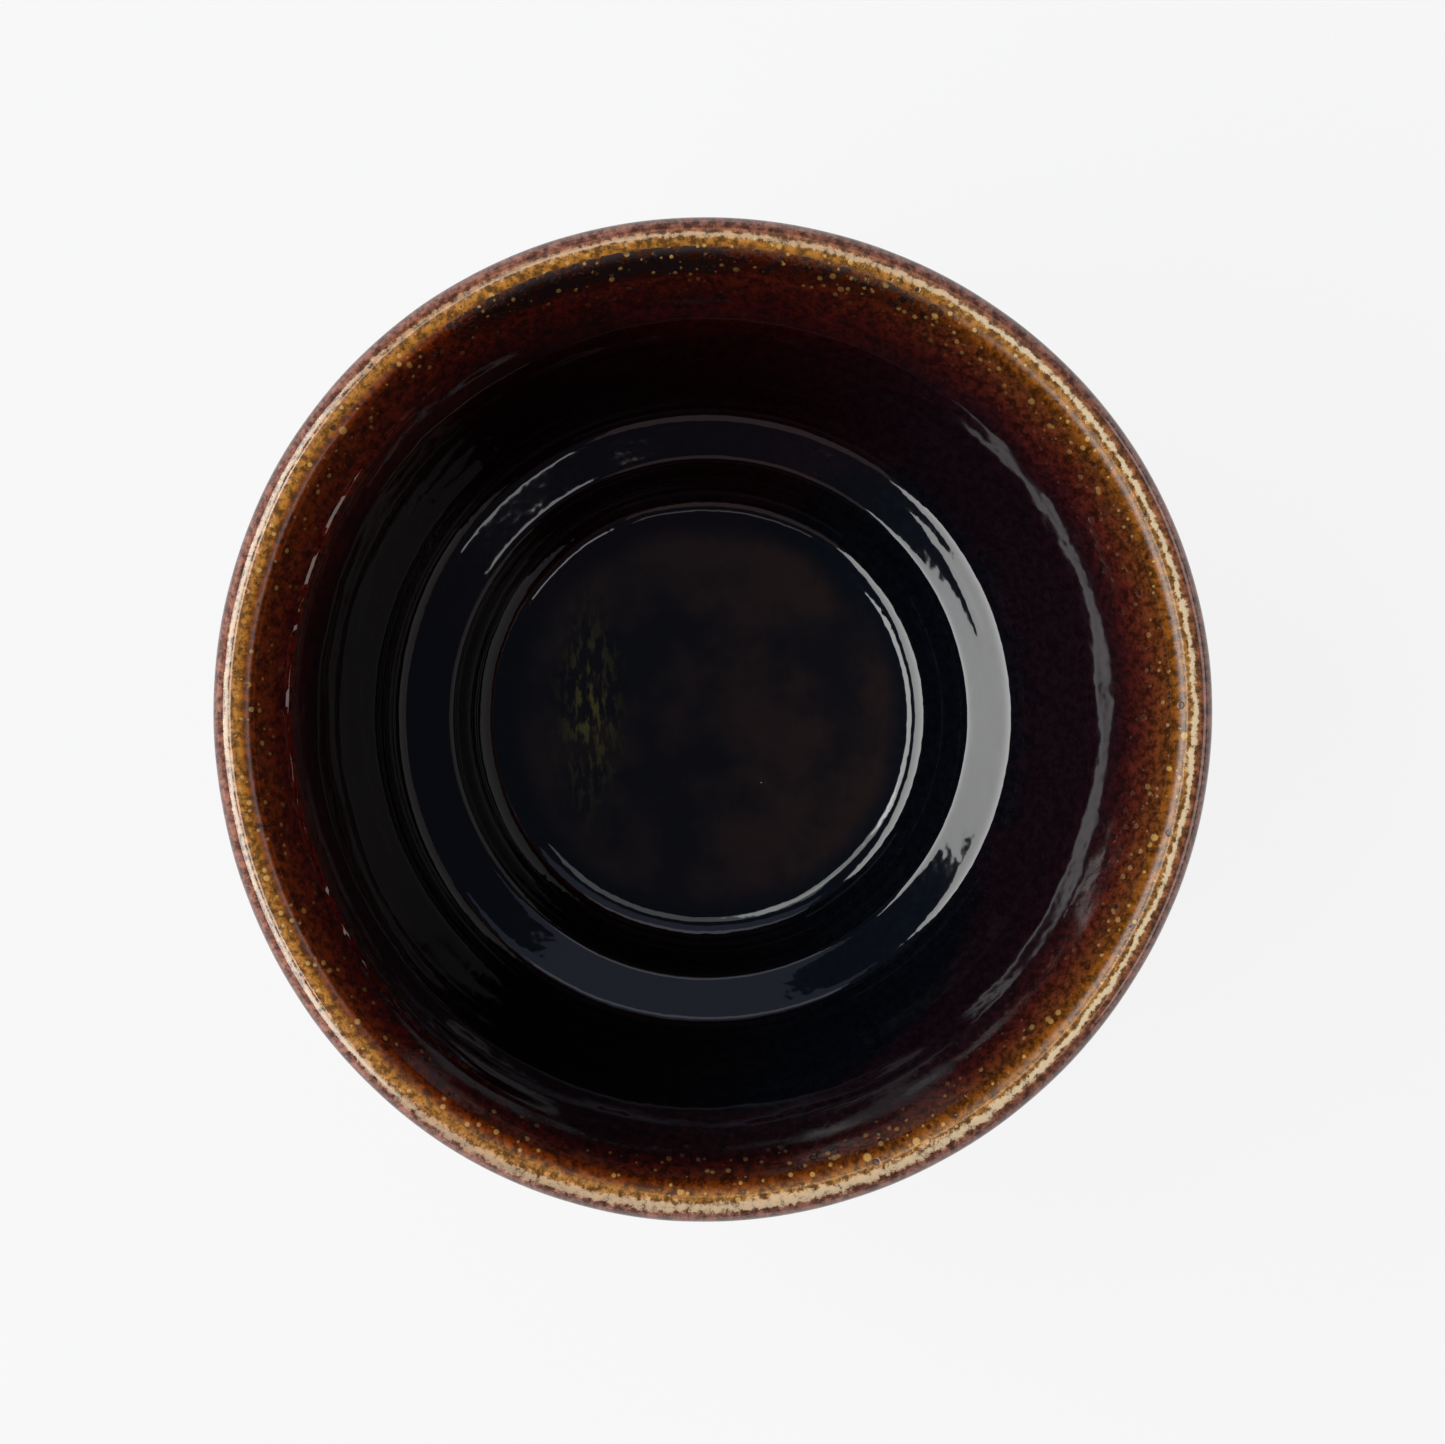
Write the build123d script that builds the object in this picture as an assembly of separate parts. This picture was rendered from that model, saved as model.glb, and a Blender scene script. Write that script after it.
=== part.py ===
from build123d import *
from math import atan2, pi, radians, tan
import os

# Wheel-thrown stoneware sake cup with a joined foot ring and fired glaze coats.
# Millimetres. +Z is up, the origin is the centre of the circle the foot stands on.
# The cup is a solid of revolution: each piece is a section in radius and height, turned about Z.

# Overall sizes, measured over the glaze
rim_diameter = 80.0
cup_height = 62.0

# Lip: a rounded roll at the top of the wall
lip_thickness = 2.9  # clay, across the roll
lip_height = 4.0  # from the crest down to where the inside and outside coats begin
lip_roundness = 0.47  # corner radius of the roll, as a share of its thickness

# Inside of the bowl, in clay
floor_thickness = 3.8
well_diameter = 46.0  # across the edge of the sunk well
well_depth = 4.7
well_bank_angle = 62.0  # of the well's bank, from level
well_corner_radius = 6.1  # where the bank runs into the floor
well_edge_radius = 1.2
ledge_width = 5.6  # from the well's edge out to the wall's corner
ledge_angle = 19.0  # rise of the ledge, from level
corner_radius = 4.4  # where the ledge turns up into the wall

# Outside of the bowl, in clay
hip_wall = 5.0  # wall thickness beside the inside corner, measured level
hip_height = 14.5
hip_radius = 14.0  # rounding where the wall turns under

# Foot ring
foot_diameter = 43.0
foot_width = 4.6
foot_height = 4.6
foot_chamfer = 0.7
foot_flare = 0.6  # how much the ring widens from the ground up to the body

# Glaze coats
well_glaze = 0.9  # pooled on the floor
ledge_glaze = 0.7
wall_glaze = 0.5
lip_glaze = 0.2  # thinned over the roll
outside_glaze = 0.45
glaze_roll = 0.85  # thick edge where the outside coat stops
bare_share = 0.42  # bare part of the slope between the hip and the foot

# Places worked out from the sizes above
clay_top = cup_height - lip_glaze
floor_top = foot_height + floor_thickness
well_edge = well_diameter / 2
well_foot = well_edge - well_depth / tan(radians(well_bank_angle))
ledge_inner_height = floor_top + well_depth
wall_corner = well_edge + ledge_width
ledge_outer_height = ledge_inner_height + ledge_width * tan(radians(ledge_angle))
hip = Vector(wall_corner + hip_wall, hip_height)
lip_radius = lip_thickness * lip_roundness
wall_lean = atan2(rim_diameter / 2 - hip.X, cup_height - hip_height)
lip_cut = lip_radius / tan(pi / 4 - wall_lean / 2) - lip_radius  # what rounding takes off the width
lip_outer = rim_diameter / 2 - lip_glaze + lip_cut
lip_inner = lip_outer - lip_thickness
foot_joint = Vector(foot_diameter / 2, foot_height)
glaze_line = foot_joint + (hip - foot_joint) * bare_share


def point_at_height(low, high, height):
    """The point of the line from low to high that lies at a height."""
    return low + (high - low) * ((height - low.Y) / (high.Y - low.Y))


def left_of(start, end):
    """Unit vector to the left of a leg. Every surface line runs with the open air on its left."""
    along = (end - start).normalized()
    return Vector(-along.Y, along.X)


def raised_corner(before, corner, after, coat_before, coat_after):
    """The corner lifted off the clay so that each of its two legs gets its own coat thickness."""
    n, m = left_of(before, corner), left_of(corner, after)
    turn = n.X * m.Y - n.Y * m.X
    across = (coat_before * m.Y - coat_after * n.Y) / turn
    up = (coat_after * n.X - coat_before * m.X) / turn
    return corner + Vector(across, up)


def raised_radius(before, corner, after, radius, coat):
    """A hollow corner's radius shrinks under the coat, and a proud corner's grows."""
    n, m = left_of(before, corner), left_of(corner, after)
    hollow = n.X * m.Y - n.Y * m.X > 0
    return radius - coat if hollow else radius + coat


def surface_line(corners, radii):
    """A clay or glaze surface as one line of straight legs and round corners."""
    return FilletPolyline(*corners, radius=radii)


def coat_line(corners, radii, legs, first, last):
    """The surface of a coat over a clay line. legs is its thickness on each leg of the clay,
    first and last are its thickness at the two ends."""
    ends_up = [
        corners[0] + left_of(corners[0], corners[1]) * first,
        corners[-1] + left_of(corners[-2], corners[-1]) * last,
    ]
    middle, rounds = [], []
    for i, radius in enumerate(radii):
        before, corner, after = corners[i : i + 3]
        middle.append(raised_corner(before, corner, after, legs[i], legs[i + 1]))
        rounds.append(raised_radius(before, corner, after, radius, legs[i]))
    return [ends_up[0], *middle, ends_up[1]], rounds


def turned(*lines):
    """Closes the lines into a section and turns it about the cup's axis."""
    section = make_face([edge for line in lines for edge in line.edges()])
    return revolve(Plane.XZ * section, axis=Axis.Z, revolution_arc=360)


# Corners of the clay surface, from the middle of the floor, up the wall, over the lip and down
wall_low = Vector(wall_corner, ledge_outer_height)
lip_inner_top = Vector(lip_inner, clay_top)
lip_outer_top = Vector(lip_outer, clay_top)
inside_start = Vector(0, floor_top)
inside_end = point_at_height(wall_low, lip_inner_top, clay_top - lip_height)
outside_start = point_at_height(hip, lip_outer_top, clay_top - lip_height)

inside_corners = [
    inside_start,
    Vector(well_foot, floor_top),
    Vector(well_edge, ledge_inner_height),
    wall_low,
    inside_end,
]
inside_radii = [well_corner_radius, well_edge_radius, corner_radius]
inside_coats = [well_glaze, ledge_glaze, ledge_glaze, wall_glaze]

lip_corners = [inside_end, lip_inner_top, lip_outer_top, outside_start]
lip_radii = [lip_radius] * 2
lip_coats = [lip_glaze] * 3

outside_corners = [outside_start, hip, glaze_line]
outside_radii = [hip_radius]
outside_coats = [outside_glaze, outside_glaze]

inside_clay = surface_line(inside_corners, inside_radii)
lip_clay = surface_line(lip_corners, lip_radii)
outside_clay = surface_line(outside_corners, outside_radii)


def clay_body():
    """The thrown wall and floor. Its surface is the three coated lines, then bare clay underneath."""
    underside = Polyline(glaze_line, foot_joint, Vector(0, foot_height), inside_start)
    return turned(inside_clay, lip_clay, outside_clay, underside)


def inside_coat():
    points, radii = coat_line(
        inside_corners, inside_radii, inside_coats, well_glaze, lip_glaze
    )
    floor_middle = Line(points[0], inside_start)
    rim_end = Line(points[-1], inside_end)
    return turned(inside_clay, surface_line(points, radii), floor_middle, rim_end)


def lip_coat():
    points, radii = coat_line(lip_corners, lip_radii, lip_coats, lip_glaze, lip_glaze)
    inner_end = Line(points[0], inside_end)
    outer_end = Line(points[-1], outside_start)
    return turned(lip_clay, surface_line(points, radii), inner_end, outer_end)


def outside_coat():
    """Ends in a rounded roll of glaze above the bare clay."""
    points, radii = coat_line(
        outside_corners, outside_radii, outside_coats, lip_glaze, glaze_roll
    )
    roll = surface_line([*points, glaze_line], [*radii, glaze_roll * 0.8])
    rim_end = Line(points[0], outside_start)
    return turned(outside_clay, roll, rim_end)


def foot_ring():
    """A coil of clay joined under the body, flared upwards, with both ground edges eased."""
    inner = foot_diameter / 2 - foot_width
    ground_outer = foot_diameter / 2 - foot_flare
    ground_inner = inner + foot_flare
    section = Polyline(
        Vector(inner, foot_height),
        Vector(ground_inner, foot_chamfer),
        Vector(ground_inner + foot_chamfer, 0),
        Vector(ground_outer - foot_chamfer, 0),
        Vector(ground_outer, foot_chamfer),
        foot_joint,
        close=True,
    )
    return turned(section)


pieces = {
    "clay_body": clay_body,
    "foot_ring": foot_ring,
    "inside_glaze": inside_coat,
    "lip_glaze": lip_coat,
    "outside_glaze": outside_coat,
}

os.makedirs("parts", exist_ok=True)
for name, build in pieces.items():
    solid = build()
    export_step(solid, f"parts/{name}.step")
    print(name, round(solid.volume), "mm3")
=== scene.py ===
import math

import bmesh
import bpy
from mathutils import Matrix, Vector


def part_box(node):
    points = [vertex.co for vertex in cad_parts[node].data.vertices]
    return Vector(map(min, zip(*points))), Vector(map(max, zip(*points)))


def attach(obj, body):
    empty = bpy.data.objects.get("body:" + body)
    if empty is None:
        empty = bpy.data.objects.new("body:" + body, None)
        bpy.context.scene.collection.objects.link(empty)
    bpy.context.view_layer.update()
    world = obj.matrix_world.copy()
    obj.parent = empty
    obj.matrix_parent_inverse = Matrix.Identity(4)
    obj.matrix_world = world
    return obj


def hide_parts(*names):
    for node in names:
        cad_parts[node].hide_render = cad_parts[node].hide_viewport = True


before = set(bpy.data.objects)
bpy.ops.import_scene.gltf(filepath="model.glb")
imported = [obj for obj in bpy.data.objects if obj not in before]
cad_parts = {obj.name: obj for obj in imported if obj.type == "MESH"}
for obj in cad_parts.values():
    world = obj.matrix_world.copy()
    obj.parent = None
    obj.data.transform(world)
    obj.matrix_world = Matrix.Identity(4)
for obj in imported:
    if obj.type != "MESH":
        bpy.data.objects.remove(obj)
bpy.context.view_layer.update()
mm = 0.001
print("frame loaded:", ", ".join(sorted(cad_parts)))


# small helpers for node trees
def addNode(tree, kind, wires=None, **settings):
    # wires: input name or number -> another node's socket, or a plain value
    node = tree.nodes.new(kind)
    for name, value in settings.items():
        setattr(node, name, value)
    for place, value in (wires or {}).items():
        socket = node.inputs[place]
        if isinstance(value, bpy.types.NodeSocket):
            tree.links.new(value, socket)
        else:
            socket.default_value = value
    return node


def calc(tree, operation, *values):
    wires = dict(enumerate(values))
    return addNode(tree, "ShaderNodeMath", wires, operation=operation).outputs[0]


def total(tree, *values):
    result = values[0]
    for value in values[1:]:
        result = calc(tree, "ADD", result, value)
    return result


def vectorCalc(tree, operation, *values):
    node = addNode(tree, "ShaderNodeVectorMath", dict(enumerate(values)), operation=operation)
    return node.outputs["Value" if operation in ("LENGTH", "DOT_PRODUCT") else "Vector"]


def product(tree, *values):
    result = values[0]
    for value in values[1:]:
        result = calc(tree, "MULTIPLY", result, value)
    return result


def scaled(tree, vector, amount):
    wires = {0: vector, "Scale": amount}
    return addNode(tree, "ShaderNodeVectorMath", wires, operation="SCALE").outputs[0]


def combine(tree, x, y, z):
    return addNode(tree, "ShaderNodeCombineXYZ", {0: x, 1: y, 2: z}).outputs[0]


def ramp(tree, value, low, high, start=0.0, end=1.0):
    # smooth change from start to end while value goes from low to high
    node = addNode(
        tree,
        "ShaderNodeMapRange",
        {"Value": value, "From Min": low, "From Max": high, "To Min": start, "To Max": end},
        interpolation_type="SMOOTHSTEP",
    )
    return node.outputs["Result"]


def hump(tree, value, centre, width):
    # bell shape, 1 at the centre
    step = calc(tree, "DIVIDE", calc(tree, "SUBTRACT", value, centre), width)
    return calc(tree, "EXPONENT", product(tree, step, step, -1.0))


def noise(tree, vector, scale, detail=2.0, roughness=0.5):
    node = addNode(
        tree,
        "ShaderNodeTexNoise",
        {"Vector": vector, "Scale": scale, "Detail": detail, "Roughness": roughness},
    )
    return node.outputs["Fac"]


def sway(tree, vector, scale, detail=2.0):
    # noise centred on zero, about -1 to 1
    return calc(tree, "MULTIPLY_ADD", noise(tree, vector, scale, detail), 4.0, -2.0)


def openTree(name, kind, inputs, outputs):
    # inputs and outputs: name -> (socket kind, value)
    tree = bpy.data.node_groups.new(name, kind)
    for direction, sockets in (("INPUT", inputs), ("OUTPUT", outputs)):
        for label, (socketKind, value) in sockets.items():
            kindName = "NodeSocket" + socketKind
            socket = tree.interface.new_socket(label, in_out=direction, socket_type=kindName)
            if value is not None:
                socket.default_value = value
    given = addNode(tree, "NodeGroupInput").outputs
    return tree, given, addNode(tree, "NodeGroupOutput").inputs


def useGroup(tree, group, **values):
    node = addNode(tree, tree.bl_idname.replace("Tree", "Group"))
    node.node_tree = group
    for label, value in values.items():
        socket = node.inputs[label.replace("_", " ")]
        if isinstance(value, bpy.types.NodeSocket):
            tree.links.new(value, socket)
        else:
            socket.default_value = value
    return node.outputs


# the cup's section, drawn once as radius and height
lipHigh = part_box("lip_glaze")[1]
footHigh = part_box("foot_ring")[1]

cup = {
    "rimRadius": lipHigh.x,
    "height": lipHigh.z,
    "lipThickness": 2.9 * mm,
    "lipHeight": 4.0 * mm,
    "lipRoundness": 0.47,
    "floorThickness": 3.8 * mm,
    "wellEdge": 23.0 * mm,
    "wellDepth": 4.7 * mm,
    "wellBankAngle": 62.0,
    "wellCornerRadius": 6.1 * mm,
    "wellEdgeRadius": 1.2 * mm,
    "ledgeWidth": 5.6 * mm,
    "ledgeAngle": 19.0,
    "cornerRadius": 4.4 * mm,
    "hipWall": 5.0 * mm,
    "hipHeight": 14.5 * mm,
    "hipRadius": 14.0 * mm,
    "footRadius": footHigh.x,
    "footHeight": footHigh.z,
    "footWidth": 4.6 * mm,
    "footFlare": 0.6 * mm,
    "footEase": 0.9 * mm,
    "footCove": 1.2 * mm,  # slip smoothed over the joint with the body
    "wellGlaze": 0.9 * mm,
    "ledgeGlaze": 0.7 * mm,
    "wallGlaze": 0.5 * mm,
    "lipGlaze": 0.2 * mm,
    "outsideGlaze": 0.45 * mm,
    "glazeRoll": 0.85 * mm,
    "bareShare": 0.42,
}


def leftOf(start, end):
    along = (end - start).normalized()
    return Vector((-along.y, along.x))


def coatLine(corners, radii, legs, first, last):
    # the surface of a glaze coat lifted off a clay line, leg by leg
    points = [corners[0] + leftOf(corners[0], corners[1]) * first]
    rounds = []
    for i, radius in enumerate(radii):
        n, m = leftOf(corners[i], corners[i + 1]), leftOf(corners[i + 1], corners[i + 2])
        bend = n.x * m.y - n.y * m.x
        across = (legs[i] * m.y - legs[i + 1] * n.y) / bend
        up = (legs[i + 1] * n.x - legs[i] * m.x) / bend
        points.append(corners[i + 1] + Vector((across, up)))
        rounds.append(radius - legs[i] if bend > 0 else radius + legs[i])
    points.append(corners[-1] + leftOf(corners[-2], corners[-1]) * last)
    return points, rounds


def lineLength(points, radii):
    # length of a line of straight legs with its corners rounded
    length = sum((b - a).length for a, b in zip(points, points[1:]))
    for before, corner, after, radius in zip(points, points[1:], points[2:], radii):
        turn = (corner - before).angle(after - corner)
        length += radius * turn - 2 * radius * math.tan(turn / 2)
    return length


clayTop = cup["height"] - cup["lipGlaze"]
floorTop = cup["footHeight"] + cup["floorThickness"]
wellFoot = cup["wellEdge"] - cup["wellDepth"] / math.tan(math.radians(cup["wellBankAngle"]))
wallCorner = cup["wellEdge"] + cup["ledgeWidth"]
ledgeRise = cup["ledgeWidth"] * math.tan(math.radians(cup["ledgeAngle"]))
hip = Vector((wallCorner + cup["hipWall"], cup["hipHeight"]))
footJoint = Vector((cup["footRadius"], cup["footHeight"]))
glazeLine = footJoint.lerp(hip, cup["bareShare"])
lipRadius = cup["lipThickness"] * cup["lipRoundness"]
wallLean = math.atan2(cup["rimRadius"] - hip.x, cup["height"] - hip.y)
lipCut = lipRadius / math.tan(math.pi / 4 - wallLean / 2) - lipRadius
lipOuterTop = Vector((cup["rimRadius"] - cup["lipGlaze"] + lipCut, clayTop))
lipInnerTop = lipOuterTop - Vector((cup["lipThickness"], 0))
wallLow = Vector((wallCorner, floorTop + cup["wellDepth"] + ledgeRise))
insideEnd = wallLow.lerp(lipInnerTop, 1 - cup["lipHeight"] / (clayTop - wallLow.y))
outsideStart = hip.lerp(lipOuterTop, 1 - cup["lipHeight"] / (clayTop - hip.y))

insideClay = [
    Vector((0, floorTop)),
    Vector((wellFoot, floorTop)),
    Vector((cup["wellEdge"], floorTop + cup["wellDepth"])),
    wallLow,
    insideEnd,
]
insideRadii = [cup["wellCornerRadius"], cup["wellEdgeRadius"], cup["cornerRadius"]]
insideLegs = [cup["wellGlaze"], cup["ledgeGlaze"], cup["ledgeGlaze"], cup["wallGlaze"]]
lipClay = [insideEnd, lipInnerTop, lipOuterTop, outsideStart]
lipRadii = [lipRadius] * 2
outsideClay = [outsideStart, hip, glazeLine]
outsideRadii = [cup["hipRadius"]]

insideSkin, insideSkinRadii = coatLine(
    insideClay, insideRadii, insideLegs, cup["wellGlaze"], cup["lipGlaze"]
)
lipSkin, lipSkinRadii = coatLine(
    lipClay, lipRadii, [cup["lipGlaze"]] * 3, cup["lipGlaze"], cup["lipGlaze"]
)
outsideSkin, outsideSkinRadii = coatLine(
    outsideClay, outsideRadii, [cup["outsideGlaze"]] * 2, cup["lipGlaze"], cup["glazeRoll"]
)
lipLength = lineLength(lipSkin, lipSkinRadii)
insideLength = lineLength(insideSkin, insideSkinRadii)
crestReach = lipLength / 2  # along the lip's skin to its crest


def run(points, radii=None, step=0.4, reach=0.0, inner=1.0, coatEnd=0.0):
    # one stretch of a section; inner and coatEnd are one value, or one for each point
    count = len(points)
    return {
        "points": points,
        "rounding": [0.0, *(radii or [0.0] * (count - 2)), 0.0],
        "rowStep": [step * mm] * count,
        "reachStart": [reach] * count,
        "inner": inner if isinstance(inner, list) else [inner] * count,
        "coatEnd": coatEnd if isinstance(coatEnd, list) else [coatEnd] * count,
    }


def backwards(points, radii):
    return points[::-1], radii[::-1]


def sectionMesh(name, runs):
    # the section as loose lines, one for each run, with its facts stored on the points
    points, edges = [], []
    for stretch in runs:
        start = len(points)
        points += [(p.x, 0.0, p.y) for p in stretch["points"]]
        edges += [(i, i + 1) for i in range(start, len(points) - 1)]
    mesh = bpy.data.meshes.new(name)
    mesh.from_pydata(points, edges, [])
    for fact in ("rounding", "rowStep", "reachStart", "inner", "coatEnd"):
        values = [value for stretch in runs for value in stretch[fact]]
        mesh.attributes.new(fact, "FLOAT", "POINT").data.foreach_set("value", values)
    piece = bpy.data.objects.new(name, mesh)
    bpy.context.scene.collection.objects.link(piece)
    return piece


# marks of the potter's hands, as a shift of every point of the cup
handMarks = {
    "Oval": 0.12 * mm,  # two sided out of round
    "Triangle": 0.22 * mm,  # three sided out of round
    "Lip Dip": 0.35 * mm,
    "Ring Height": 0.025 * mm,
    "Ring Pitch": 7.0 * mm,
    "Glaze Step": 0.32 * mm,  # where one dip of glaze ended
    "Ledge Groove": 0.03 * mm,
    "Glaze Sway": 0.024 * mm,
    "Outer Ring Height": 0.07 * mm,
    "Trim Marks": 0.07 * mm,
    "Edge Run": 0.0,
}
# where the marks lie: heights and radii in metres, angles in degrees from +X
markPlaces = {
    "ovalTurn": -177,
    "triangleTurn": -43.5,
    "ringsInside": (15 * mm, 59 * mm),
    "ringsOutside": (15 * mm, 60 * mm),
    "smoothSide": (0, 40, 30),  # centre, half width, soft edge
    "stepHeight": 51.4 * mm,
    "stepSwell": 4.0 * mm,
    "stepEdge": 0.35 * mm,
    "stepSide": (190, 52, 12),
    "wallFoot": (16 * mm, 20 * mm),
    "grooveRadius": 25.1 * mm,
    "grooveWidth": 0.3 * mm,
    "grooveSide": (33, 15, 6),
    "trimPitch": 1.5 * mm,
    # centre, half width, size
    "drips": ((300, 13, 1.1), (115, 11, 0.9), (205, 15, 0.7), (20, 10, 0.6)),
}


def angleWindow(tree, angle, centre, halfWidth, soft):
    # 1 round the cup within halfWidth of the centre, in degrees
    nearness = calc(tree, "COSINE", calc(tree, "SUBTRACT", angle, math.radians(centre)))
    return ramp(
        tree,
        nearness,
        math.cos(math.radians(halfWidth + soft)),
        math.cos(math.radians(halfWidth - soft)),
    )


def makeHandMarks():
    inputs = {name: ("Float", value) for name, value in handMarks.items()}
    inputs = {"Inner": ("Float", 1.0), "Coat End": ("Float", 0.0), **inputs}
    outputs = {"Shift": ("Vector", None)}
    tree, given, result = openTree("handMarks", "GeometryNodeTree", inputs, outputs)
    position = addNode(tree, "GeometryNodeInputPosition").outputs[0]
    x, y, z = addNode(tree, "ShaderNodeSeparateXYZ", {0: position}).outputs[:3]
    level = combine(tree, x, y, 0.0)
    radius = vectorCalc(tree, "LENGTH", level)
    outward = vectorCalc(tree, "NORMALIZE", level)
    angle = calc(tree, "ARCTAN2", y, x)
    inner = given["Inner"]
    outer = calc(tree, "SUBTRACT", 1.0, inner)

    # out of round, growing towards the lip, never wider than the true circle
    def lobe(count, phase, size):
        turned = calc(tree, "MULTIPLY_ADD", angle, float(count), math.radians(phase))
        return product(tree, calc(tree, "SUBTRACT", calc(tree, "COSINE", turned), 1.0), size)

    lobes = total(
        tree,
        lobe(2, markPlaces["ovalTurn"], given["Oval"]),
        lobe(3, markPlaces["triangleTurn"], given["Triangle"]),
    )
    roundness = product(tree, lobes, ramp(tree, z, 8 * mm, cup["height"], 0.15, 1.0))

    # lip that dips and rises a little
    dip = calc(tree, "MULTIPLY_ADD", sway(tree, outward, 0.9), 0.25, -0.5)
    dip = product(tree, dip, given["Lip Dip"], ramp(tree, z, 40 * mm, 60 * mm))

    # spiral rings of the throwing
    def spiral(pitch, height, low, high):
        phase = calc(tree, "MULTIPLY_ADD", calc(tree, "DIVIDE", z, pitch), 2 * math.pi, angle)
        uneven = noise(tree, position, 45.0, 1.0)
        wave = calc(tree, "SINE", calc(tree, "MULTIPLY_ADD", uneven, 5.0, phase))
        strength = product(tree, height, product(tree, noise(tree, position, 60.0, 1.0), 1.6))
        fade = product(tree, ramp(tree, z, low, low + 5 * mm), ramp(tree, z, high, high - 6 * mm))
        return product(tree, wave, strength, fade)

    ringsIn = spiral(given["Ring Pitch"], given["Ring Height"], *markPlaces["ringsInside"])
    smooth = product(tree, angleWindow(tree, angle, *markPlaces["smoothSide"]), 0.75)
    ringsIn = product(tree, ringsIn, calc(tree, "SUBTRACT", 1.0, smooth))
    outerPitch = product(tree, given["Ring Pitch"], 1.25)
    ringsOut = spiral(outerPitch, given["Outer Ring Height"], *markPlaces["ringsOutside"])

    # the inside coat swells and steps back where one dip of glaze ended
    stepHeight = total(
        tree,
        markPlaces["stepHeight"],
        product(tree, sway(tree, outward, 1.4, 1.0), 0.9 * mm),
        product(tree, sway(tree, position, 240.0, 2.0), 0.22 * mm),
    )
    below = calc(tree, "SUBTRACT", z, stepHeight)
    edge = -markPlaces["stepEdge"]
    swell = product(
        tree,
        ramp(tree, below, -markPlaces["stepSwell"], edge),
        ramp(tree, below, 0.0, edge),
    )
    window = angleWindow(tree, angle, *markPlaces["stepSide"])
    glazeStep = product(tree, swell, given["Glaze Step"], window)
    inside = calc(tree, "SUBTRACT", ringsIn, glazeStep)

    # uneven glaze
    fineSway = product(tree, given["Glaze Sway"], 0.1)
    soft = total(
        tree,
        product(tree, sway(tree, position, 120.0, 1.0), given["Glaze Sway"]),
        product(tree, sway(tree, position, 420.0, 1.0), fineSway),
    )
    wall = ramp(tree, z, *markPlaces["wallFoot"])
    wallShift = total(tree, product(tree, inside, inner), product(tree, ringsOut, outer), soft)
    sideways = product(tree, wallShift, wall)

    # ledge and floor are marked from above
    drift = product(tree, sway(tree, position, 300.0, 1.0), 0.12 * mm)
    groove = hump(
        tree,
        calc(tree, "ADD", radius, drift),
        markPlaces["grooveRadius"],
        markPlaces["grooveWidth"],
    )
    grooveWindow = angleWindow(tree, angle, *markPlaces["grooveSide"])
    groove = product(tree, groove, grooveWindow, given["Ledge Groove"])
    marked = calc(tree, "SUBTRACT", soft, groove)
    upDown = product(tree, marked, inner, calc(tree, "SUBTRACT", 1.0, wall))

    # trimming lines cut into the bare underside
    trimTurns = 2 * math.pi / markPlaces["trimPitch"]
    trimPhase = calc(tree, "MULTIPLY_ADD", radius, trimTurns, angle)
    trim = calc(tree, "ABSOLUTE", calc(tree, "SINE", product(tree, trimPhase, 0.5)))
    trim = product(tree, trim, given["Trim Marks"], outer)
    trim = product(tree, trim, ramp(tree, z, 9 * mm, 7.5 * mm))
    trim = product(tree, trim, ramp(tree, z, 3.5 * mm, 4.5 * mm))

    # the glaze line above the foot runs further down in places
    runs = calc(tree, "MULTIPLY_ADD", sway(tree, outward, 2.2, 3.0), 0.42, -0.1)
    for centre, width, size in markPlaces["drips"]:
        drip = product(tree, angleWindow(tree, angle, centre, width, width * 0.9), size)
        runs = total(tree, runs, drip)
    coatEnd = calc(tree, "POWER", given["Coat End"], 2.0)
    runDown = product(tree, product(tree, runs, given["Edge Run"]), coatEnd)
    slope = (footJoint - hip).normalized()

    radial = total(tree, roundness, sideways, product(tree, runDown, slope.x))
    vertical = total(tree, dip, upDown, trim, product(tree, runDown, slope.y))
    shift = scaled(tree, outward, radial)
    shift = vectorCalc(tree, "ADD", shift, combine(tree, 0.0, 0.0, vertical))
    tree.links.new(shift, result["Shift"])
    return tree


# turning a section into a piece, as on the wheel
wheel = {
    "Around": 448,
    "Corner Steps": 16,
    "Weld": 0.002 * mm,
    "Crease": math.radians(38),
}


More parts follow.
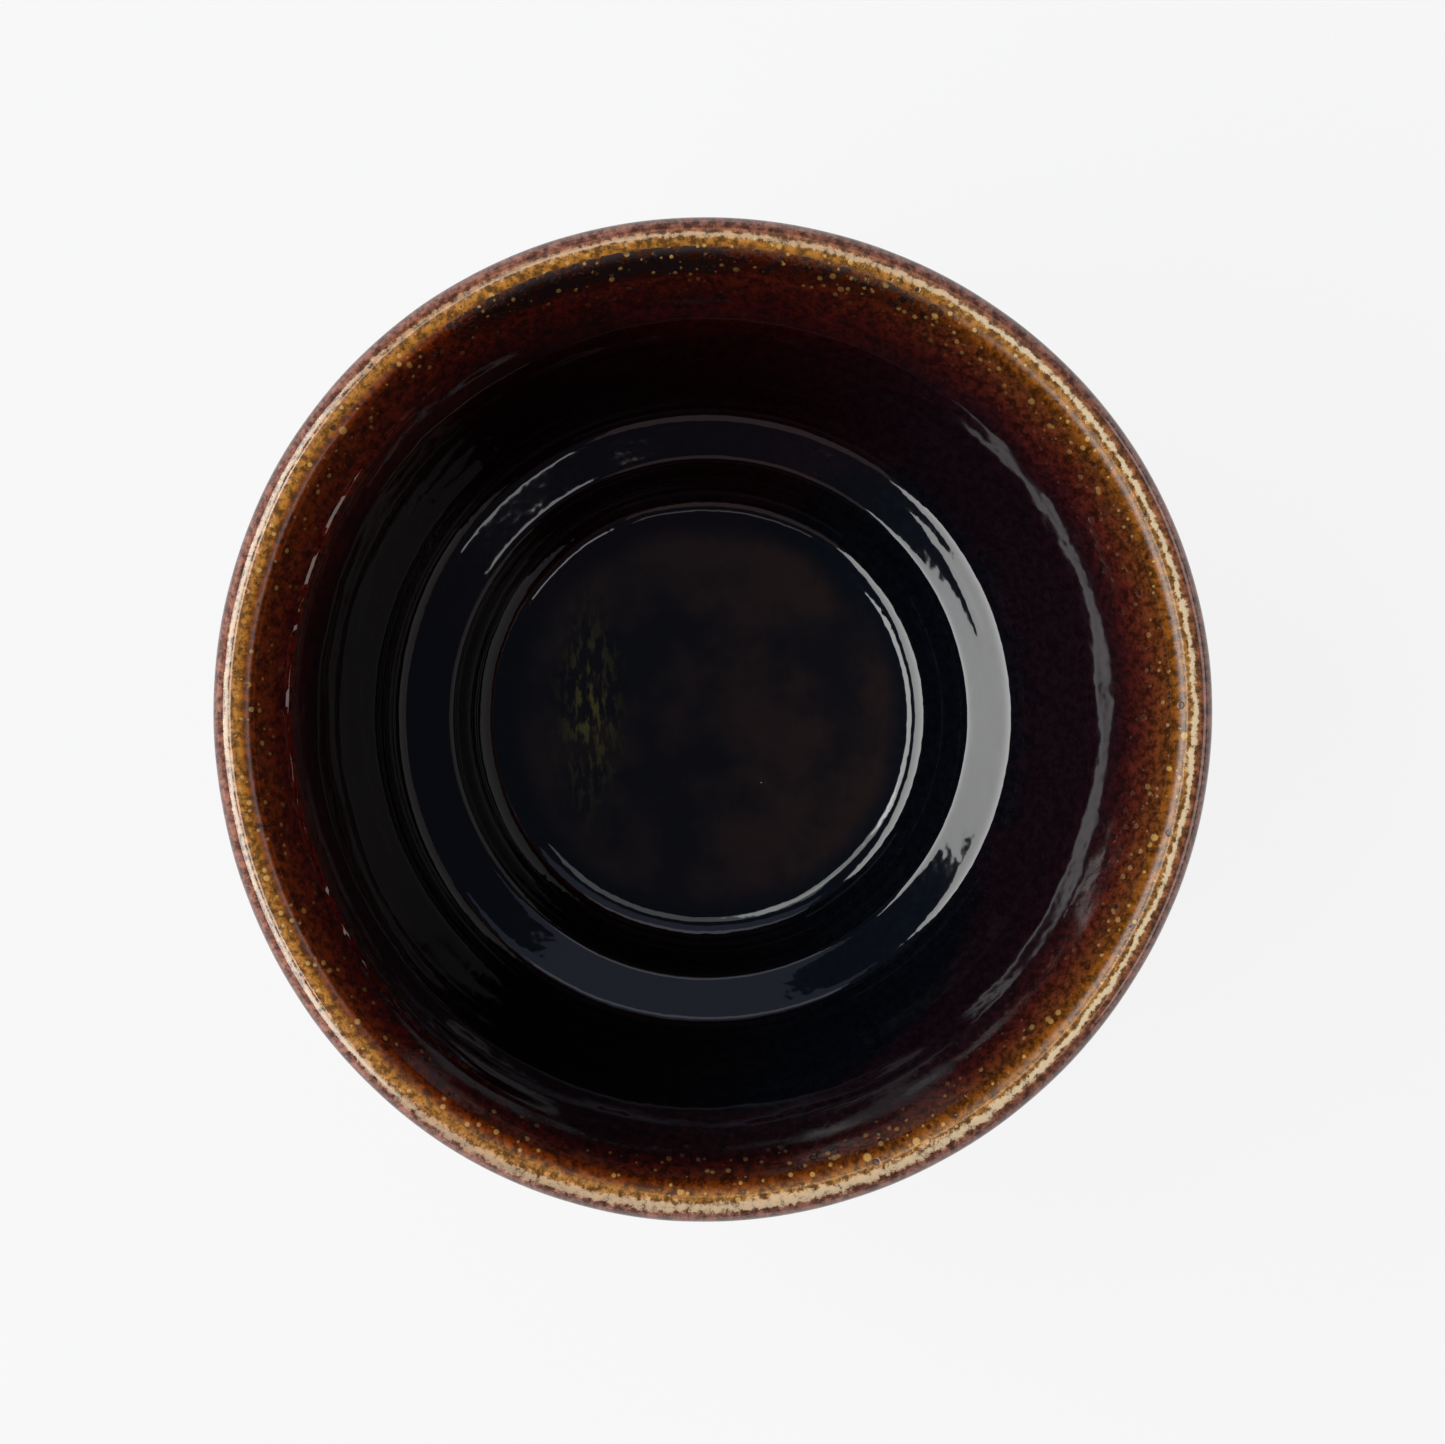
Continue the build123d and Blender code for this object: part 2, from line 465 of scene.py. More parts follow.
def makeWheel(marks):
    inputs = {
        "Section": ("Geometry", None),
        "Around": ("Int", wheel["Around"]),
        "Corner Steps": ("Int", wheel["Corner Steps"]),
        "Weld": ("Float", wheel["Weld"]),
        "Crease": ("Float", wheel["Crease"]),
        **{name: ("Float", value) for name, value in handMarks.items()},
        "Finish": ("Material", None),
    }
    outputs = {"Piece": ("Geometry", None)}
    tree, given, result = openTree("turnOnWheel", "GeometryNodeTree", inputs, outputs)

    def fact(name, kind="FLOAT"):
        wires = {"Name": name}
        node = addNode(tree, "GeometryNodeInputNamedAttribute", wires, data_type=kind)
        return node.outputs["Attribute"]

    def change(kind, geometry, wires, **settings):
        return addNode(tree, kind, {0: geometry, **wires}, **settings).outputs[0]

    def keep(geometry, name, value, kind="FLOAT"):
        wires = {"Geometry": geometry, "Name": name, "Value": value}
        return addNode(tree, "GeometryNodeStoreNamedAttribute", wires, data_type=kind).outputs[0]

    lines = change("GeometryNodeMeshToCurve", given["Section"], {})
    wires = {"Count": given["Corner Steps"], "Radius": fact("rounding"), "Limit Radius": True}
    lines = change("GeometryNodeFilletCurve", lines, wires, mode="POLY")
    wires = {"Length": fact("rowStep")}
    lines = change("GeometryNodeResampleCurve", lines, wires, mode="LENGTH")
    position = addNode(tree, "GeometryNodeInputPosition").outputs[0]
    lines = keep(lines, "place", position, "FLOAT_VECTOR")
    along = addNode(tree, "GeometryNodeSplineParameter").outputs["Length"]
    lines = keep(lines, "rimReach", calc(tree, "ADD", fact("reachStart"), along))

    wires = {"Resolution": given["Around"], "Radius": 1.0}
    circle = addNode(tree, "GeometryNodeCurvePrimitiveCircle", wires).outputs[0]
    index = addNode(tree, "GeometryNodeInputIndex").outputs[0]
    angle = product(tree, calc(tree, "DIVIDE", index, given["Around"]), 2 * math.pi)
    circle = keep(circle, "turn", angle)
    piece = change("GeometryNodeCurveToMesh", circle, {"Profile Curve": lines})

    place = addNode(tree, "ShaderNodeSeparateXYZ", {0: fact("place", "FLOAT_VECTOR")}).outputs
    turn = fact("turn")
    spot = combine(
        tree,
        product(tree, place[0], calc(tree, "COSINE", turn)),
        product(tree, place[0], calc(tree, "SINE", turn)),
        place[2],
    )
    piece = change("GeometryNodeSetPosition", piece, {"Position": spot})
    values = {name.replace(" ", "_"): given[name] for name in handMarks}
    shift = useGroup(tree, marks, Inner=fact("inner"), Coat_End=fact("coatEnd"), **values)["Shift"]
    piece = change("GeometryNodeSetPosition", piece, {"Offset": shift})
    piece = change("GeometryNodeMergeByDistance", piece, {"Distance": given["Weld"]})
    piece = change("GeometryNodeSetShadeSmooth", piece, {"Shade Smooth": True})
    fold = addNode(tree, "GeometryNodeInputMeshEdgeAngle").outputs["Unsigned Angle"]
    sharp = calc(tree, "GREATER_THAN", fold, given["Crease"])
    wires = {"Selection": sharp, "Shade Smooth": False}
    piece = change("GeometryNodeSetShadeSmooth", piece, wires, domain="EDGE")
    for name in ("place", "turn", "rounding", "rowStep", "reachStart", "inner", "coatEnd"):
        piece = change("GeometryNodeRemoveAttribute", piece, {"Name": name})
    piece = change("GeometryNodeRealizeInstances", piece, {})
    piece = change("GeometryNodeSetMaterial", piece, {"Material": given["Finish"]})
    tree.links.new(piece, result["Piece"])
    return tree


def turnPiece(name, runs, finish, **changes):
    section = sectionMesh(name + "Section", runs)
    modifier = section.modifiers.new("wheel", "NODES")
    modifier.node_group = wheelTree
    items = wheelTree.interface.items_tree
    sockets = {item.name: item.identifier for item in items if item.in_out == "INPUT"}
    modifier[sockets["Finish"]] = finish
    for label, value in changes.items():
        modifier[sockets[label.replace("_", " ")]] = value
    depsgraph = bpy.context.evaluated_depsgraph_get()
    mesh = bpy.data.meshes.new_from_object(section.evaluated_get(depsgraph), depsgraph=depsgraph)
    section.modifiers.clear()
    bpy.data.objects.remove(section)
    mesh.name = name
    piece = bpy.data.objects.new(name, mesh)
    bpy.context.scene.collection.objects.link(piece)
    corners = ([mesh.vertices[v].co for v in t.vertices] for t in mesh.loop_triangles)
    volume = sum(a.dot(b.cross(c)) for a, b, c in corners) / 6
    print(name, len(mesh.loop_triangles), "triangles", round(volume * 1e9), "mm3")
    return piece


# finishes
def newMaterial(name):
    material = bpy.data.materials.new(name)
    material.use_nodes = True
    tree = material.node_tree
    return material, tree, tree.nodes["Principled BSDF"]


def mixColour(tree, factor, low, high, blend="MIX"):
    wires = {0: factor, 6: low, 7: high}
    return addNode(tree, "ShaderNodeMix", wires, data_type="RGBA", blend_type=blend).outputs[2]


def greyTone(tree, tone):
    return addNode(tree, "ShaderNodeCombineColor", {0: tone, 1: tone, 2: tone}).outputs[0]


def srgb(*levels):
    # 0 to 255 screen levels as a linear colour
    linear = [((v / 255 + 0.055) / 1.055) ** 2.4 if v > 10 else v / 255 / 12.92 for v in levels]
    return (*linear, 1.0)


def colourLine(tree, value, low, high, stops):
    # stops: (place between low and high, colour)
    node = addNode(tree, "ShaderNodeValToRGB", {0: ramp(tree, value, low, high)})
    node.inputs[0].links[0].from_node.interpolation_type = "LINEAR"
    bar = node.color_ramp
    while len(bar.elements) < len(stops):
        bar.elements.new(0.5)
    for element, (place, colour) in zip(bar.elements, stops):
        element.position = (place - low) / (high - low)
        element.color = colour
    return node.outputs["Color"]


def spots(tree, vector, scale, size, share):
    # round spots: scale is cells for each unit, size the largest spot's radius in cells,
    # share how many of the cells have a spot
    wires = {"Vector": vector, "Scale": scale, "Randomness": 1.0}
    cells = addNode(tree, "ShaderNodeTexVoronoi", wires)
    pick = addNode(tree, "ShaderNodeSeparateColor", {0: cells.outputs["Color"]}).outputs
    reach = calc(tree, "MULTIPLY", pick[1], size)
    disc = ramp(tree, calc(tree, "SUBTRACT", cells.outputs["Distance"], reach), 0.0, size * -0.35)
    return calc(tree, "MULTIPLY", disc, calc(tree, "LESS_THAN", pick[0], share))


def cupPlace(tree):
    # place in millimetres, the same drawn out down the wall as glaze flows, angle round the cup
    point = scaled(tree, addNode(tree, "ShaderNodeTexCoord").outputs["Object"], 1000.0)
    x, y, z = addNode(tree, "ShaderNodeSeparateXYZ", {0: point}).outputs[:3]
    flow = combine(tree, x, y, product(tree, z, 0.3))
    return point, flow, calc(tree, "ARCTAN2", y, x)


glaze = {
    # millimetres from the lip's crest, inside is negative: colour in screen levels
    "stops": [
        # the bluish black of the deepest stops is partly the glaze's own black and partly painted
        # reflection of the bluish room light
        (-56.0, srgb(6, 9, 15)),
        (-50.0, srgb(8, 9, 15)),
        (-45.0, srgb(22, 10, 15)),
        (-30.0, srgb(23, 10, 16)),
        (-20.0, srgb(30, 10, 16)),
        (-16.0, srgb(44, 11, 13)),
        (-12.0, srgb(64, 20, 14)),
        (-9.0, srgb(78, 31, 17)),
        (-6.0, srgb(93, 45, 20)),
        (-3.0, srgb(98, 52, 19)),
        (-1.4, srgb(102, 58, 13)),
        (-0.9, srgb(114, 68, 14)),
        (-0.5, srgb(132, 88, 28)),
        (0.1, srgb(140, 94, 48)),
        (0.5, srgb(128, 80, 46)),
        (0.8, srgb(104, 62, 46)),
        (1.2, srgb(126, 86, 72)),
        (1.8, srgb(104, 66, 56)),
        (4.0, srgb(80, 46, 39)),
        (8.0, srgb(62, 33, 29)),
        (14.0, srgb(50, 26, 22)),
    ],
    "stopRange": (-56.0, 16.0),
    "cream": srgb(214, 194, 158),
    "beads": srgb(190, 148, 78),
    "crater": srgb(36, 20, 11),
    "curdle": srgb(19, 12, 12),
    "pinhole": srgb(150, 134, 112),
    "rust": srgb(112, 60, 30),
    "dusk": srgb(34, 17, 19),
    "floorLight": srgb(42, 28, 23),
    "floorDark": srgb(18, 13, 14),
    "fibres": srgb(96, 92, 44),
    # painted light and shade on each side of the cup: painted shade off the lit right side and on
    # the far side, painted light on the left inside, and painted reflection on the deep wall at
    # the far ends
    "paintedShadeTint": (0.8, 0.52, 0.42, 1.0),
    "paintedLeftLightTint": (1.3, 1.02, 0.7, 1.0),
    "paintedFarShadeTint": (0.72, 0.4, 0.4, 1.0),
    "paintedDeepReflectionTint": (1.9, 2.5, 2.5, 1.0),
    # degrees from +X: centre, half width, soft edge
    "rightSide": (-2, 66, 30),
    "leftSide": (182, 62, 40),
    "farSide": (97, 32, 18),
    "broadAmber": (112, 36, 26),
    "narrowAmber": (262, 40, 30),
    "wideCrest": (266, 34, 22),
    "patchMiddle": (107, 14, 8),
    "patchTail": (78, 20, 10),
    "brightPool": (0, 60, 60),
    "fibresAt": (-10.5, 1.0),  # millimetres from the cup's axis
    "fibresSize": (1.9, 6.0),
    "gloss": 0.045,  # roughness inside
    "outsideGloss": 0.13,
    "ior": 1.52,
}


def makeGlazeGroup():
    # colour and relief of the melted glaze, from where a point lies across the lip
    inputs = {"Mottle": ("Float", 1.0), "Beads": ("Float", 1.0), "Peel": ("Float", 1.0)}
    outputs = {"Colour": ("Color", None), "Height": ("Float", None), "Rough": ("Float", None)}
    tree, given, result = openTree("meltedGlaze", "ShaderNodeTree", inputs, outputs)
    point, flow, angle = cupPlace(tree)
    rimReach = addNode(tree, "ShaderNodeAttribute", attribute_name="rimReach").outputs["Fac"]
    reach = calc(tree, "MULTIPLY_ADD", rimReach, 1000.0, -crestReach * 1000)

    def times(*values):
        return product(tree, *values)

    def side(name):
        return angleWindow(tree, angle, *glaze[name])

    def fade(low, high, start=0.0, end=1.0):
        # along the skin, across the lip
        return ramp(tree, reach, low, high, start, end)

    blotch = noise(tree, flow, 0.33, 5.0, 0.64)
    grain = noise(tree, flow, 1.5, 4.0, 0.75)
    rightSide, leftSide, farSide = side("rightSide"), side("leftSide"), side("farSide")

    # the amber band is deep on one side of the cup and shallow on the other
    breadth = total(tree, 1.0, times(side("broadAmber"), 0.38), times(side("narrowAmber"), -0.52))
    deep = calc(tree, "MINIMUM", calc(tree, "ADD", reach, 1.2), 0.0)
    shallow = calc(tree, "MAXIMUM", reach, -1.2)
    place = calc(tree, "ADD", calc(tree, "DIVIDE", deep, breadth), shallow)
    spread = total(
        tree,
        fade(-0.6, -4.0, 0.1, 0.0),
        fade(-0.8, -14.0, 0.3, 11.0),
        fade(0.6, 3.0, 0.0, 2.0),
    )
    wander = times(calc(tree, "SUBTRACT", blotch, 0.5), spread, given["Mottle"])
    place = calc(tree, "ADD", place, wander)
    colour = colourLine(tree, place, *glaze["stopRange"], glaze["stops"])

    # painted shade and light on the band, side by side: darker off the right side, lighter and
    # warmer on the left, darker and redder on the far side, and lighter and bluer on the deep wall
    # at the far ends as painted reflection
    inBand = fade(-0.3, -1.5)
    paintedShadeMask = times(calc(tree, "SUBTRACT", 1.0, rightSide), inBand)
    ends = total(tree, 1.0, times(rightSide, -1.0), times(leftSide, -1.0))
    paintedDeepReflectionMask = times(calc(tree, "MAXIMUM", ends, 0.0), fade(-12.0, -20.0), fade(-50.0, -44.0))
    for share, tint in (
        (paintedShadeMask, "paintedShadeTint"),
        (times(leftSide, inBand), "paintedLeftLightTint"),
        (times(farSide, fade(-0.6, -1.8)), "paintedFarShadeTint"),
        (paintedDeepReflectionMask, "paintedDeepReflectionTint"),
    ):
        colour = mixColour(tree, share, colour, glaze[tint], "MULTIPLY")

    # grain of the crystals
    band = times(fade(-20.0, -9.0), fade(0.5, -0.4))
    grey = greyTone(tree, ramp(tree, grain, 0.37, 0.65, 0.3, 2.0))
    grainShare = times(fade(-26.0, -10.0, 0.5, 0.85), fade(8.0, 0.0, 0.5, 1.0), given["Mottle"])
    colour = mixColour(tree, grainShare, colour, grey, "MULTIPLY")

    # pale beads in the amber and dark craters
    fineBeads = spots(tree, flow, 1.5, 0.42, 0.6)
    beads = calc(tree, "MAXIMUM", spots(tree, flow, 0.75, 0.3, 0.42), fineBeads)
    beads = times(beads, band, given["Beads"])
    colour = mixColour(tree, times(beads, fade(-11.0, -1.5, 0.05, 0.85)), colour, glaze["beads"])
    craters = times(spots(tree, flow, 1.0, 0.36, 0.42), fade(-10.0, -5.0), fade(0.2, -0.4))
    colour = mixColour(tree, times(craters, 0.8), colour, glaze["crater"])

    # pale line where the glaze pulled thin over the crest, broken into beads
    wide = times(side("wideCrest"), 0.25)
    crest = total(tree, reach, times(sway(tree, flow, 0.5, 3.0), 0.16))
    middle = total(tree, 0.1, times(wide, 0.8), times(leftSide, 0.42))
    halfWidth = total(tree, 0.27, wide, times(leftSide, -0.05))
    line = calc(tree, "DIVIDE", calc(tree, "SUBTRACT", crest, middle), halfWidth)
    line = calc(tree, "EXPONENT", times(line, line, -1.0))
    torn = times(calc(tree, "SUBTRACT", grain, 0.5), 3.2)
    ragged = times(ramp(tree, total(tree, line, torn), 0.3, 0.9), ramp(tree, line, 0.02, 0.3))
    share = total(tree, 1.0, times(leftSide, -0.4), times(wide, -1.2), times(farSide, -0.5))
    colour = mixColour(tree, times(ragged, share, 0.92), colour, glaze["cream"])

    # black curdled patch on one stretch of the lip, with crumbs of amber
    along = total(tree, side("patchMiddle"), times(side("patchTail"), 0.6))
    patch = times(along, fade(-9.0, -4.0), fade(-0.5, -1.0))
    clots = times(noise(tree, flow, 1.5, 5.0, 0.75), 3.6)
    clots = total(tree, clots, times(spots(tree, flow, 0.9, 0.6, 0.8), 0.3), -1.3)
    patch = times(ramp(tree, times(patch, clots), 0.3, 0.45), ramp(tree, patch, 0.0, 0.2))
    colour = mixColour(tree, times(patch, 0.94), colour, glaze["curdle"])
    crumbs = times(spots(tree, flow, 1.2, 0.4, 0.6), along, fade(-10.0, -4.0), fade(-0.6, -1.4))
    colour = mixColour(tree, times(crumbs, 0.8), colour, glaze["beads"])

    # the pool of glaze on the floor is cloudy
    poolEdge = (insideSkin[1].x * 0.84 - insideLength - crestReach) / mm
    cloudy = total(tree, noise(tree, point, 0.11, 5.0, 0.62), times(side("brightPool"), 0.05))
    cloudy = ramp(tree, cloudy, 0.4, 0.66)
    cloud = mixColour(tree, cloudy, glaze["floorDark"], glaze["floorLight"])
    x, y, z = addNode(tree, "ShaderNodeSeparateXYZ", {0: point}).outputs[:3]
    fibres = noise(tree, combine(tree, x, times(y, 0.3), z), 1.6, 3.0, 0.6)
    (fibresX, fibresY), (fibresWide, fibresLong) = glaze["fibresAt"], glaze["fibresSize"]
    drift = times(hump(tree, x, fibresX, fibresWide), hump(tree, y, fibresY, fibresLong))
    fibres = times(ramp(tree, fibres, 0.48, 0.62), drift)
    cloud = mixColour(tree, times(fibres, 0.9), cloud, glaze["fibres"])
    colour = mixColour(tree, fade(poolEdge + 1.0, poolEdge - 1.5), colour, cloud)

    # the outside coat is mottled with rust and dusk
    outside = fade(1.4, 3.5)
    rust = times(ramp(tree, blotch, 0.5, 0.68), outside, 0.55)
    colour = mixColour(tree, rust, colour, glaze["rust"])
    dusk = times(ramp(tree, blotch, 0.48, 0.34), outside, 0.6)
    colour = mixColour(tree, dusk, colour, glaze["dusk"])

    # pinholes
    pinholes = spots(tree, point, 0.22, 0.05, 0.22)
    colour = mixColour(tree, times(pinholes, 0.6), colour, glaze["pinhole"])

    height = total(
        tree,
        times(sway(tree, flow, 0.8, 1.0), given["Peel"], 0.0035),
        times(grain, band, 0.012),
        times(beads, 0.012),
        times(total(tree, craters, pinholes), -0.04),
        times(patch, 0.06),
        times(crumbs, 0.05),
    )
    rough = total(
        tree,
        fade(0.5, 6.0, glaze["gloss"], glaze["outsideGloss"]),
        times(patch, 0.2),
        times(pinholes, 0.3),
        times(ragged, 0.12),
        times(hump(tree, reach, -1.0, 0.6), 0.3),
    )
    tree.links.new(colour, result["Colour"])
    tree.links.new(height, result["Height"])
    tree.links.new(rough, result["Rough"])
    return tree


def coatMaterial(name, group, **values):
    # a material whose colour, gloss and relief come from one group
    material, tree, shader = newMaterial(name)
    out = useGroup(tree, group, **values)
    tree.links.new(out["Colour"], shader.inputs["Base Color"])
    tree.links.new(out["Rough"], shader.inputs["Roughness"])
    wires = {"Height": out["Height"], "Distance": mm, "Strength": 1.0}
    bump = addNode(tree, "ShaderNodeBump", wires)
    tree.links.new(bump.outputs[0], shader.inputs["Normal"])
    return material, shader


def makeGlaze(name, **values):
    material, shader = coatMaterial(name, glazeGroup, **values)
    shader.inputs["IOR"].default_value = glaze["ior"]
    return material


clay = {
    "dark": srgb(104, 76, 56),
    "light": srgb(134, 98, 72),
    "toast": srgb(122, 66, 38),
    "darkSand": srgb(40, 27, 20),
    "paleSand": srgb(186, 160, 128),
    "toolPitch": 9.0,  # radians for each millimetre
    "toolDepth": 0.02,
    "sandDepth": 0.06,
    "speckDepth": 0.03,
    "rough": (0.9, 0.72),
}


def makeClayGroup():
    # sandy, toasted stoneware with the turning tool's lines
    inputs = {"Toast": ("Float", 0.5), "Sand": ("Float", 1.0), "Tool Lines": ("Float", 1.0)}
    outputs = {"Colour": ("Color", None), "Height": ("Float", None), "Rough": ("Float", None)}
    tree, given, result = openTree("sandyStoneware", "ShaderNodeTree", inputs, outputs)
    point, _, angle = cupPlace(tree)
    x, y, z = addNode(tree, "ShaderNodeSeparateXYZ", {0: point}).outputs[:3]
    radius = vectorCalc(tree, "LENGTH", combine(tree, x, y, 0.0))
    cloud = ramp(tree, noise(tree, point, 0.11, 3.0, 0.6), 0.35, 0.65)
    colour = mixColour(tree, cloud, clay["dark"], clay["light"])
    warm = product(tree, ramp(tree, noise(tree, point, 0.2, 2.0), 0.4, 0.62), given["Toast"])
    colour = mixColour(tree, warm, colour, clay["toast"])
    grain = noise(tree, point, 2.6, 4.0, 0.7)
    grey = greyTone(tree, ramp(tree, grain, 0.3, 0.7, 0.78, 1.2))
    colour = mixColour(tree, 0.8, colour, grey, "MULTIPLY")
    dark = spots(tree, point, 0.9, 0.26, 0.28)
    pale = spots(tree, point, 1.3, 0.22, 0.3)
    colour = mixColour(tree, product(tree, dark, 0.75), colour, clay["darkSand"])
    colour = mixColour(tree, product(tree, pale, 0.5), colour, clay["paleSand"])
    ringPhase = calc(tree, "MULTIPLY_ADD", total(tree, radius, z), clay["toolPitch"], angle)
    lines = product(tree, calc(tree, "SINE", ringPhase), noise(tree, point, 0.5, 1.0))
    height = total(
        tree,
        product(tree, lines, product(tree, given["Tool Lines"], clay["toolDepth"])),
        product(tree, grain, product(tree, given["Sand"], clay["sandDepth"])),
        product(tree, total(tree, dark, pale), clay["speckDepth"]),
    )
    tree.links.new(colour, result["Colour"])
    tree.links.new(height, result["Height"])
    tree.links.new(ramp(tree, grain, 0.3, 0.7, *clay["rough"]), result["Rough"])
    return tree


def makeClay(name, **values):
    return coatMaterial(name, clayGroup, **values)[0]


glazeGroup = makeGlazeGroup()
clayGroup = makeClayGroup()

marksTree = makeHandMarks()
wheelTree = makeWheel(marksTree)

blackGlaze = makeGlaze("ironBlackGlaze")
lipFinish = makeGlaze("amberLipGlaze")
brownGlaze = makeGlaze("purpleBrownGlaze", Mottle=1.1, Peel=1.4)
bareClay = makeClay("bareStoneware", Toast=0.6)
footClay = makeClay("footStoneware", Toast=0.35, Tool_Lines=0.5)
print("glazes and clays mixed")


# each piece's rows are given in millimetres along its section
insideSet = {
    "flatRadius": 14 * mm,
    "floorRows": 1.2,
    "cornerRows": 0.33,
    "wallHeights": (22, 50, 53.6),
    "wallRows": (0.55, 0.16, 0.4),  # close rows where the glaze steps
    "backRows": 2.0,
    "endRows": 0.5,
}


def insideRuns():
    flat = Vector((insideSet["flatRadius"], insideSkin[0].y))
    low, high = insideSkin[3:5]
    wall = [low.lerp(high, (h * mm - low.y) / (high.y - low.y)) for h in insideSet["wallHeights"]]
    wall.append(high)
    stretches = [
        ([insideSkin[0], flat], [], insideSet["floorRows"]),
        ([flat, *insideSkin[1:4], wall[0]], insideSkinRadii, insideSet["cornerRows"]),
    ]
    stretches += [([a, b], [], rows) for a, b, rows in zip(wall, wall[1:], insideSet["wallRows"])]
    reach = -insideLength
    for points, radii, rows in stretches:
        yield run(points, radii, rows, reach)
        reach += lineLength(points, radii)


# inside coat: skin, the end that meets the lip coat, and the side against the clay
insideGlaze = turnPiece(
    "insideGlaze",
    [
        *insideRuns(),
        run([insideSkin[-1], insideEnd], None, insideSet["endRows"], 0.0),
        run(*backwards(insideClay, insideRadii), insideSet["backRows"], 0.0),
    ],
    blackGlaze,
)

lipSet = {
    "rows": 0.13,
    "backRows": 0.5,
}
lipGlaze = turnPiece(
    "lipGlaze",
    [
        run(lipSkin, lipSkinRadii, lipSet["rows"], 0.0, inner=[1, 1, 0, 0]),
        run([lipSkin[-1], outsideStart], None, lipSet["backRows"], lipLength, inner=0),
        run(*backwards(lipClay, lipRadii), lipSet["backRows"], 0.0, inner=[0, 0, 1, 1]),
        run([insideEnd, lipSkin[0]], None, lipSet["backRows"], 0.0, inner=1),
    ],
    lipFinish,
)

outsideSet = {
    "rows": 0.35,
    "backRows": 1.0,
    "endRows": 0.5,
    "rollRounding": 0.8,  # of the glaze roll's thickness
    "edgeRun": 1.1 * mm,  # how far the glaze line wanders down
}
rollPoints = [*outsideSkin, glazeLine]
rollRadii = [*outsideSkinRadii, cup["glazeRoll"] * outsideSet["rollRounding"]]
outsideBack = backwards(outsideClay, outsideRadii)
outsideGlaze = turnPiece(
    "outsideGlaze",
    [
        run(rollPoints, rollRadii, outsideSet["rows"], lipLength, inner=0, coatEnd=[0, 0, 1, 1]),
        run(*outsideBack, outsideSet["backRows"], lipLength, inner=0, coatEnd=[1, 0, 0]),
        run([outsideStart, outsideSkin[0]], None, outsideSet["endRows"], lipLength, inner=0),
    ],
    brownGlaze,
    Edge_Run=outsideSet["edgeRun"],
)

bodySet = {
    "insideRows": 2.0,
    "lipRows": 0.6,
    "outsideRows": 1.0,
    "baseRows": 0.3,
}
bodyBase = [glazeLine, footJoint, Vector((0, cup["footHeight"]))]
clayBody = turnPiece(
    "clayBody",
    [
        run(insideClay, insideRadii, bodySet["insideRows"], 0.0),
        run(lipClay, lipRadii, bodySet["lipRows"], 0.0, inner=[1, 1, 0, 0]),
        run(outsideClay, outsideRadii, bodySet["outsideRows"], 0.0, inner=0),
        run(bodyBase, None, bodySet["baseRows"], 0.0, inner=0),
    ],
    bareClay,
)

footSet = {
    "rows": 0.25,
    "topRows": 1.0,
    "coveShare": 0.3,  # how far the slip climbs towards the glaze line
    "coveWidth": 1.3 * mm,  # and how far it runs in under the cup
}
footInner = cup["footRadius"] - cup["footWidth"]
innerTop = Vector((footInner, cup["footHeight"]))
coveOut = footJoint.lerp(glazeLine, footSet["coveShare"])
coveIn = innerTop - Vector((footSet["coveWidth"], 0))
footProfile = [
    coveOut,
    footJoint,
    Vector((cup["footRadius"] - cup["footFlare"], 0)),
    Vector((footInner + cup["footFlare"], 0)),
    innerTop,
    coveIn,
]
footRounding = [cup["footCove"], cup["footEase"], cup["footEase"], cup["footCove"]]
footRing = turnPiece(
    "footRing",
    [
        run(footProfile, footRounding, footSet["rows"], inner=0),
        run([coveIn, footJoint, coveOut], None, footSet["topRows"], inner=0),
    ],
    footClay,
)

for piece, node, slot in (
    (insideGlaze, "inside_glaze", "black_glaze"),
    (lipGlaze, "lip_glaze", "lip_glaze"),
    (outsideGlaze, "outside_glaze", "brown_glaze"),
    (clayBody, "clay_body", "stoneware"),
    (footRing, "foot_ring", "stoneware"),
):
    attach(piece, "root")
    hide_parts(node)
print("pieces placed on the frame")

# floor, light and camera
studio = {
    "floorRadius": 1.2,
    "floorGlow": 0.87,
    "floorShade": 0.06,
    "roomColour": (0.5, 0.66, 1.0),
    "roomLight": 0.1,
    "backdrop": 0.945,
    "panelDistance": 0.9,
    "aimHeight": 0.03,
    # azimuth from +X, tilt from straight up, width, height, radiance, near edge, colour
    "panels": {
        "windowLeft": (182, 42.5, 1.15, 0.40, 8.8, 0.6, (1.0, 1.0, 1.0)),
        "topStrip": (180, 18.5, 0.36, 0.13, 7.5, 1.0, (1.0, 1.0, 1.0)),
        "topSide": (128, 18.5, 0.3, 0.13, 3.5, 1.0, (1.0, 1.0, 1.0)),
        "coolPanel": (80, 42, 0.9, 0.36, 0.36, 1.0, (0.66, 0.7, 1.0)),
        "coolStrip": (85, 45, 0.8, 0.09, 0.8, 1.0, (0.93, 0.93, 1.0)),
        "coolTop": (85, 19, 0.5, 0.14, 1.1, 1.0, (0.95, 0.97, 1.0)),
        "warmPanel": (262, 46, 0.7, 0.22, 0.36, 1.0, (1.0, 0.66, 0.62)),
        "farCard": (266, 30.5, 0.4, 0.04, 0.9, 1.0, (1.0, 0.86, 0.8)),
        "sparkLight": (312, 37, 0.3, 0.045, 3.0, 1.0, (1.0, 1.0, 1.0)),
        "lowFill": (0, 71, 1.3, 0.28, 2.3, 1.0, (1.0, 0.97, 0.93)),
    },
}


